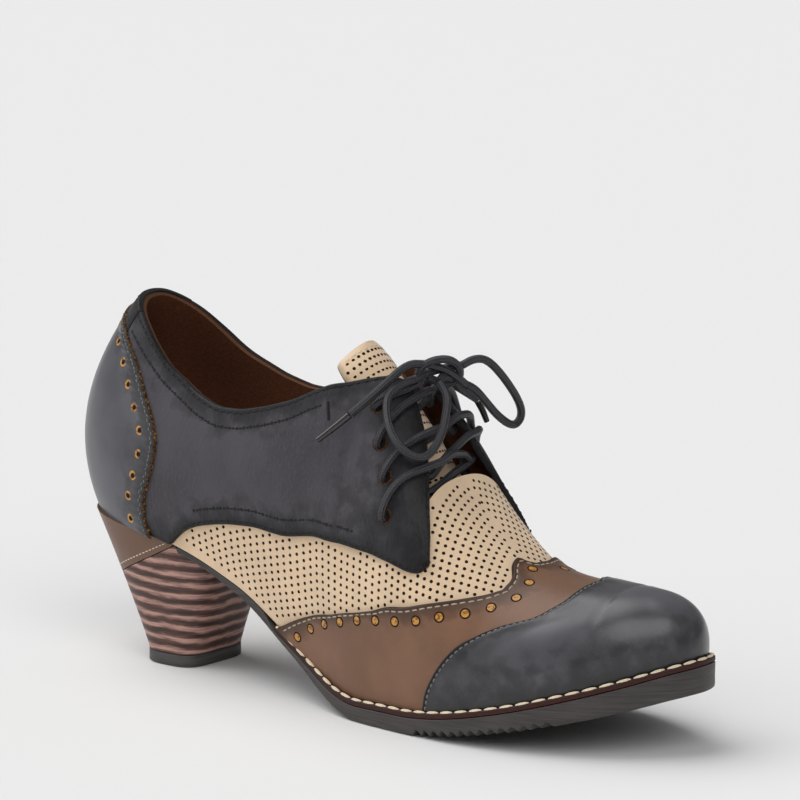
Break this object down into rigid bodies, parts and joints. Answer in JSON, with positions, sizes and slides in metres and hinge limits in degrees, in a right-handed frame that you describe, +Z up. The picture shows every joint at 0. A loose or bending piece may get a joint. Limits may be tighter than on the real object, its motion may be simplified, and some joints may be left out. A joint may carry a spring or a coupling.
{
  "type": "heeled oxford shoe",
  "caption": "Right heeled lace-up leather shoe with wing overlay, toe cap, smooth counter, round laces and a layered block heel.",
  "frame": {"origin": "floor point under the middle of the shoe's box, without the free lace", "axes": "+X from the heel's back to the toe, -Y the outer side, +Z up"},
  "size_m": [0.2642, 0.0798, 0.1343],
  "materials": {
    "vamp_nubuck": "tan nubuck with fine perforations",
    "quarter_leather": "fine-grained charcoal leather, satin",
    "counter_leather": "smooth burnished navy charcoal, semi-gloss",
    "cap_leather": "smooth burnished near-black, glossy",
    "wing_leather": "taupe brown leather, burnished darker at its edges",
    "lining": "brown suede lining",
    "sole": "charcoal brown, matt",
    "welt_leather": "dark brown with pale stitches",
    "heel_layers": "pinkish brown layers, waxed",
    "heel_rubber": "dark grey, matt",
    "lace": "round waxed charcoal braid"
  },
  "bodies": {
    "root": {"upper": "vamp_nubuck", "toe_cap": "cap_leather", "wing": "wing_leather", "quarter_lateral": "quarter_leather", "quarter_medial": "quarter_leather", "counter": "counter_leather", "collar_tab": "counter_leather", "tongue": "vamp_nubuck", "insole": "lining", "welt": "welt_leather", "outsole": "sole", "heel_stack": "heel_layers", "heel_cover": "wing_leather", "heel_tip": "heel_rubber", "lace_bars": "lace", "lace_knot": "lace", "lace_loop_front": "lace", "lace_loop_back": "lace", "lace_end_front": "lace", "lace_end_back": "lace", "aglet_front": "lace", "aglet_back": "lace"}
  },
  "joints": []
}
